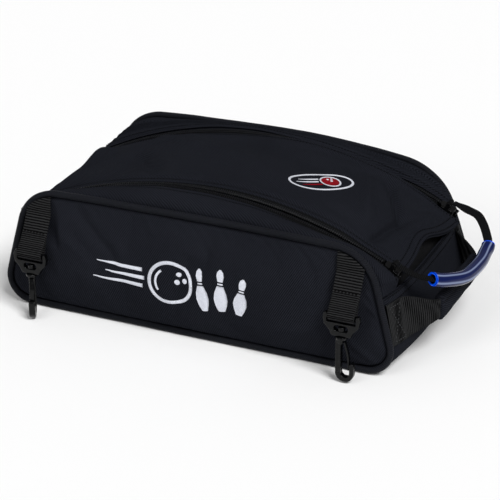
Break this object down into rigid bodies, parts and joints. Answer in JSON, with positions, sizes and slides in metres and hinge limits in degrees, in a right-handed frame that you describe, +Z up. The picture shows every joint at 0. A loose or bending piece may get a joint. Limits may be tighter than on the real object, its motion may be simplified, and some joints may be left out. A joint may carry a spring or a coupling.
{
  "type": "bowling shoe and accessory bag",
  "caption": "Soft piped bag for bowling shoes and accessories, with a zip-off top lid, a tubed zip pull, an end grab handle and front straps with swivel snap hooks.",
  "frame": {"origin": "centre of the flat base on the ground", "axes": "+X along the bag's length to the end with the grab handle and zip pull, +Y from the hooked front panel to the rear panel, +Z up"},
  "size_m": [0.4378, 0.2539, 0.137],
  "materials": {
    "cover_fabric": "polyester twill",
    "piping": "satin fabric over cord",
    "foam": "foam padding",
    "board": "stiff sheet",
    "webbing": "ribbed webbing",
    "zip_tape": "woven tape",
    "zip_coil": "nylon coil",
    "slider_metal": "black enamel",
    "clear_tube": "clear tinted vinyl",
    "hook_plastic": "satin moulded acetal"
  },
  "bodies": {
    "bag": {"base_panel": "cover_fabric", "base_board": "board", "front_panel": "cover_fabric", "rear_panel": "cover_fabric", "front_foam": "foam", "rear_foam": "foam", "front_piping": "piping", "rear_piping": "piping", "front_gusset": "cover_fabric", "rear_gusset": "cover_fabric", "left_end_panel": "cover_fabric", "right_end_panel": "cover_fabric", "hinge_strip": "cover_fabric", "front_zip_tape": "zip_tape", "rear_zip_tape": "zip_tape", "front_zip_coil": "zip_coil", "rear_zip_coil": "zip_coil", "zip_stops": "slider_metal", "handle_front_anchor": "webbing", "handle_rear_anchor": "webbing", "handle_front_bend": "webbing", "handle_rear_bend": "webbing", "left_strap_root": "webbing", "right_strap_root": "webbing"},
    "lid": {"lid_panel": "cover_fabric", "lid_front_tape": "zip_tape", "lid_rear_tape": "zip_tape", "lid_front_coil": "zip_coil", "lid_rear_coil": "zip_coil"},
    "zip_carriage": {"front_slider": "slider_metal", "rear_slider": "slider_metal"},
    "pull": {"pull_end_loops": "webbing", "pull_webbing": "webbing", "pull_tube": "clear_tube"},
    "grab_handle": {"handle_core": "webbing", "handle_wrap": "cover_fabric"},
    "left_strap": {"left_strap": "webbing"},
    "left_swivel": {"left_swivel_loop": "hook_plastic"},
    "left_hook": {"left_hook": "hook_plastic"},
    "left_gate": {"left_hook_gate": "hook_plastic"},
    "right_strap": {"right_strap": "webbing"},
    "right_swivel": {"right_swivel_loop": "hook_plastic"},
    "right_hook": {"right_hook": "hook_plastic"},
    "right_gate": {"right_hook_gate": "hook_plastic"}
  },
  "joints": [
    {"name": "lid_open", "type": "hinge", "parent": "bag", "child": "lid", "pos_m": [-0.18904, 0, 0.08787], "axis": [0, -1, 0], "range_deg": [0, 120]},
    {"name": "zip_run", "type": "hinge", "parent": "bag", "child": "zip_carriage", "pos_m": [0, 0, -0.25122], "axis": [0, -1, 0], "range_deg": [0, 54]},
    {"name": "pull_swing", "type": "hinge", "parent": "zip_carriage", "child": "pull", "pos_m": [0.18076, 0, 0.09455], "axis": [0, -1, 0], "range_deg": [0, 90]},
    {"name": "grab_handle_swing", "type": "hinge", "parent": "bag", "child": "grab_handle", "pos_m": [0.1925, 0, 0.048], "axis": [0, -1, 0], "range_deg": [0, 40], "deforming": ["handle_front_bend", "handle_rear_bend"]},
    {"name": "left_strap_swing", "type": "hinge", "parent": "bag", "child": "left_strap", "pos_m": [-0.153, -0.1077, 0.097], "axis": [-1, 0, 0], "range_deg": [0, 100]},
    {"name": "left_swivel_swing", "type": "hinge", "parent": "left_strap", "child": "left_swivel", "pos_m": [-0.153, -0.1257, 0.0624], "axis": [-1, 0, 0], "range_deg": [-5, 100]},
    {"name": "left_hook_turn", "type": "hinge", "parent": "left_swivel", "child": "left_hook", "pos_m": [-0.153, -0.1257, 0.041], "axis": [0, 0, 1], "continuous": true},
    {"name": "left_gate_press", "type": "hinge", "parent": "left_hook", "child": "left_gate", "pos_m": [-0.15167, -0.12855, 0.039], "axis": [0.9063, 0.4226, 0], "range_deg": [0, 11], "stiffness_Nm_per_rad": 0.3},
    {"name": "right_strap_swing", "type": "hinge", "parent": "bag", "child": "right_strap", "pos_m": [0.153, -0.1077, 0.097], "axis": [-1, 0, 0], "range_deg": [0, 100]},
    {"name": "right_swivel_swing", "type": "hinge", "parent": "right_strap", "child": "right_swivel", "pos_m": [0.153, -0.1257, 0.0624], "axis": [-1, 0, 0], "range_deg": [-5, 100]},
    {"name": "right_hook_turn", "type": "hinge", "parent": "right_swivel", "child": "right_hook", "pos_m": [0.153, -0.1257, 0.041], "axis": [0, 0, 1], "continuous": true},
    {"name": "right_gate_press", "type": "hinge", "parent": "right_hook", "child": "right_gate", "pos_m": [0.15615, -0.1257, 0.039], "axis": [0, 1, 0], "range_deg": [0, 11], "stiffness_Nm_per_rad": 0.3}
  ]
}
